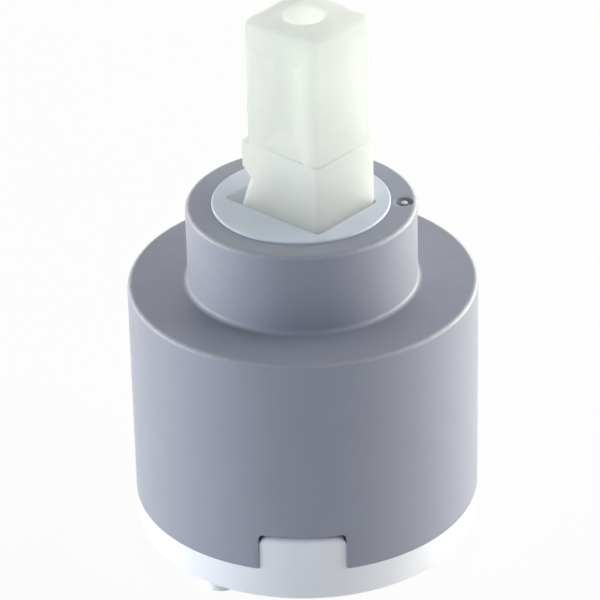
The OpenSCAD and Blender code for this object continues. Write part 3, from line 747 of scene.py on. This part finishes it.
def build_lever():
    """Ball, arm, block, collar and stem in one skin that ends in the screw hole, then the pin's bore."""

    def bar(half_x, front, back, corner_r, z):
        """Ring round the lever, with the columns that all its rings share."""
        return rounded_rect(half_x, front, back, corner_r, z, LEVER_COLUMNS)

    def round_like(ring, centre_y, radius, z):
        """Circle with a point in the direction of each of the ring's points."""
        circle = []
        for x, y, _ in ring:
            far = math.hypot(x, y - centre_y)
            circle.append((x / far * radius, centre_y + (y - centre_y) / far * radius, z))
        return circle

    foot = bar(LEVER_HALF_W, FOOT_Y - FOOT_HALF_L, FOOT_Y + FOOT_HALF_L, LEVER_CORNER_R, FOOT_Z)
    plan = bar(ROUND_PLAN_R, -ROUND_PLAN_R, ROUND_PLAN_R, ROUND_PLAN_CORNER_R, FOOT_Z)
    rings = []
    arm_top = math.degrees(math.acos(ARM_R / BALL_R))
    at_ball = [(x, y + BALL_Y, z) for x, y, z in plan]
    for k in range(BALL_STEPS + 1):
        a = math.radians(BALL_START_ANGLE + (arm_top - BALL_START_ANGLE) * k / BALL_STEPS)
        rings.append(round_like(at_ball, BALL_Y, BALL_R * math.cos(a), BALL_Z + BALL_R * math.sin(a)))
    at_foot = [(x, y + FOOT_Y, z) for x, y, z in plan]
    rings.append(round_like(at_foot, FOOT_Y, ARM_R, FOOT_Z - ARM_STEP))
    rings.append(foot)

    bevel_z = COLLAR_UNDER_Z - COLLAR_BEVEL
    heights = rows(FOOT_Z, 0.5, 1, 34) + rows(bevel_z - 0.5, FINE_ROW, 0, 20)
    heights += rows(COLLAR_Z - 3.5, 1.0, 1, 3)
    for z in heights:
        front = between_points(z, (FOOT_Z, FOOT_Y - FOOT_HALF_L), (PIVOT_Z, -LEVER_REACH),
                               (COLLAR_Z, -LEVER_REACH))
        back = between_points(z, (FOOT_Z, FOOT_Y + FOOT_HALF_L), (HEEL_Z, HEEL_Y),
                              (bevel_z, COLLAR_NECK_Y),
                              (COLLAR_UNDER_Z, COLLAR_BACK), (COLLAR_Z, COLLAR_BACK))
        rings.append(bar(LEVER_HALF_W, front, back, LEVER_CORNER_R, z))
    for c, s in quarter():
        inset = EDGE_R * (1 - c)
        z = COLLAR_Z - COLLAR_STEP - EDGE_R * (1 - s)
        rings.append(bar(LEVER_HALF_W, inset - LEVER_REACH, COLLAR_BACK - inset, LEVER_CORNER_R, z))
    rings.append(bar(LEVER_HALF_W, STEM_FRONT - COLLAR_STEP_FRONT, STEM_BACK + COLLAR_STEP_BACK,
                     STEM_CORNER_R, COLLAR_Z - COLLAR_STEP / 3))
    rings.append(bar(LEVER_HALF_W, STEM_FRONT, STEM_BACK, STEM_CORNER_R, COLLAR_Z))

    pocket_top = STEM_Z - POCKET_BAND
    heights = rows(COLLAR_Z, FINE_ROW, 1, 16) + rows(COLLAR_Z + 2.2, 0.75, 0, 10)
    heights += rows(pocket_top - 1.6, FINE_ROW, 0, 19) + rows(STEM_Z - 2.2, 0.7, 0, 1)
    heights += rows(STEM_Z - 1.0, FINE_ROW / 2, 0, 19)
    for z in heights:
        ends = bend(z - (STEM_Z - STEM_BEVEL), STEM_BEVEL_SOFTNESS)
        sides = bend(z - (STEM_Z - STEM_SIDE_BEVEL), STEM_BEVEL_SOFTNESS)
        corner_r = STEM_CORNER_R - STEM_CORNER_TIGHTENING * ends
        ring = bar(LEVER_HALF_W - sides, STEM_FRONT + ends, STEM_BACK - ends, corner_r, z)
        rings.append([(x - math.copysign(pocket_inset(y, z), x), y, z) for x, y, z in ring])
    top = rings[-1]
    rings.append([(x * STEM_TOP_SHARE, HOLE_Y + (y - HOLE_Y) * STEM_TOP_SHARE, STEM_Z) for x, y, z in top])
    for c, s in quarter():
        radius = HOLE_R + HOLE_EDGE_R * (1 - s)
        rings.append(round_like(top, HOLE_Y, radius, STEM_Z - HOLE_EDGE_R * (1 - c)))
    rings.append(round_like(top, HOLE_Y, HOLE_R, STEM_Z - HOLE_DEPTH))
    rings.append(round_like(top, HOLE_Y, HOLE_TIP_R, STEM_Z - HOLE_DEPTH - HOLE_TIP_DEPTH))
    made = ring_solid("lever_moulding", rings)
    combine(made, across("pin_bore", PIN_BORE_R, LEVER_HALF_W + OVERSHOOT, PIVOT_Z))
    return made


dress(build_housing(), "housing", housing_finish())
dress(build_base(), "base", base_finish())
dress(build_turret(), "turret", turret_finish())
dress(build_lever(), "lever", lever_finish())

ceramic = ceramic_finish()
rubber = seal_finish()
inner_finishes = {
    "pivot_pin": pin_finish(),
    "thrust_washer": washer_finish(),
    "disc_carrier": carrier_finish(),
    "moving_disc": ceramic,
    "fixed_disc": ceramic,
    "turret_o_ring": rubber,
    "carrier_seal": rubber,
    "hot_disc_seal": rubber,
    "cold_disc_seal": rubber,
    "outlet_disc_seal": rubber,
    "hot_base_seal": rubber,
    "cold_base_seal": rubber,
    "outlet_base_seal": rubber,
}
for name, finish in inner_finishes.items():
    slots = frame["nodes"][name].data.materials
    slots.clear()
    slots.append(finish)


# Stage

def white_for_seen_rays(tree):
    """Factor that is 1 for rays from the camera, a mirror or a clear body, and 0 for scattered light."""
    path = add_node(tree, "LightPath").outputs
    seen = path["Is Camera Ray"]
    for other in ("Is Glossy Ray", "Is Transmission Ray"):
        seen = combine_values(tree, "MAXIMUM", seen, path[other])
    return seen


def make_floor():
    """Pale floor that looks white, keeps a soft shadow and is clear from below."""
    mesh = bpy.data.meshes.new("floor")
    half = FLOOR_SIZE / 2
    corners = [(-half, -half, 0), (half, -half, 0), (half, half, 0), (-half, half, 0)]
    mesh.from_pydata(corners, [], [(0, 1, 2, 3)])
    floor = bpy.data.objects.new("floor", mesh)
    floor.location.z = FLOOR_Z
    bpy.context.scene.collection.objects.link(floor)
    material = bpy.data.materials.new("floor_white")
    material.use_nodes = True
    tree = material.node_tree
    tree.nodes.clear()
    matte = add_node(tree, "BsdfDiffuse", Color=(0.9, 0.9, 0.9, 1.0))
    glow = add_node(tree, "Emission", Color=(1.0, 1.0, 1.0, 1.0), Strength=1.0)
    share = combine_values(tree, "MULTIPLY", white_for_seen_rays(tree), FLOOR_SEEN_SHARE)
    shown = mix_shaders(tree, share, matte.outputs[0], glow.outputs[0])
    clear = add_node(tree, "BsdfTransparent")
    from_below = add_node(tree, "NewGeometry").outputs["Backfacing"]
    sided = mix_shaders(tree, from_below, shown, clear.outputs[0])
    add_node(tree, "OutputMaterial", Surface=sided)
    mesh.materials.append(material)


def make_world():
    """White surroundings where they are seen, and a softer grey where they light the object."""
    world = bpy.data.worlds.new("studio")
    bpy.context.scene.world = world
    world.use_nodes = True
    tree = world.node_tree
    tree.nodes.clear()
    strength = map_range(tree, white_for_seen_rays(tree), 0.0, 1.0, AMBIENT, 1.0)
    sky = add_node(tree, "Background", Color=(1.0, 1.0, 1.0, 1.0), Strength=strength)
    add_node(tree, "OutputWorld", Surface=sky.outputs[0])


def direction(azimuth, elevation):
    """Unit vector from the object towards that azimuth and elevation."""
    a, e = math.radians(azimuth), math.radians(elevation)
    return Vector((math.sin(a) * math.cos(e), -math.cos(a) * math.cos(e), math.sin(e)))


def add_softbox(name, azimuth, elevation, width, height, power, colour):
    """Rectangular area lamp aimed at the middle of the object."""
    lamp = bpy.data.lights.new(name, "AREA")
    lamp.shape = "RECTANGLE"
    lamp.size = width
    lamp.size_y = height
    lamp.energy = power
    lamp.color = colour
    holder = bpy.data.objects.new(name, lamp)
    towards = direction(azimuth, elevation)
    holder.location = Vector((0, 0, AIM_HEIGHT)) + towards * LAMP_DISTANCE
    holder.rotation_euler = (-towards).to_track_quat("-Z", "Y").to_euler()
    holder.visible_camera = False
    holder.visible_transmission = False
    bpy.context.scene.collection.objects.link(holder)


def make_camera():
    """Camera at the photograph's angle, with its slight roll."""
    data = bpy.data.cameras.new("camera")
    data.sensor_width = CAMERA_SENSOR
    data.lens = CAMERA_LENS
    data.clip_start = 0.01
    camera = bpy.data.objects.new("camera", data)
    a, r = math.radians(CAMERA_AZIMUTH), math.radians(CAMERA_ROLL)
    back = direction(CAMERA_AZIMUTH, CAMERA_ELEVATION)
    right = Vector((math.cos(a), math.sin(a), 0.0))
    up = back.cross(right)
    x_axis = right * math.cos(r) + up * math.sin(r)
    y_axis = up * math.cos(r) - right * math.sin(r)
    aim = Vector((0, 0, AIM_HEIGHT)) - right * AIM_LEFT
    rotation = Matrix((x_axis, y_axis, back)).transposed()
    camera.matrix_world = Matrix.Translation(aim + back * CAMERA_DISTANCE) @ rotation.to_4x4()
    bpy.context.scene.collection.objects.link(camera)
    bpy.context.scene.camera = camera


make_camera()
make_floor()
make_world()
for name, turn, *settings in LAMPS:
    add_softbox(name, CAMERA_AZIMUTH + turn, *settings)
bpy.context.scene.view_settings.view_transform = "Standard"
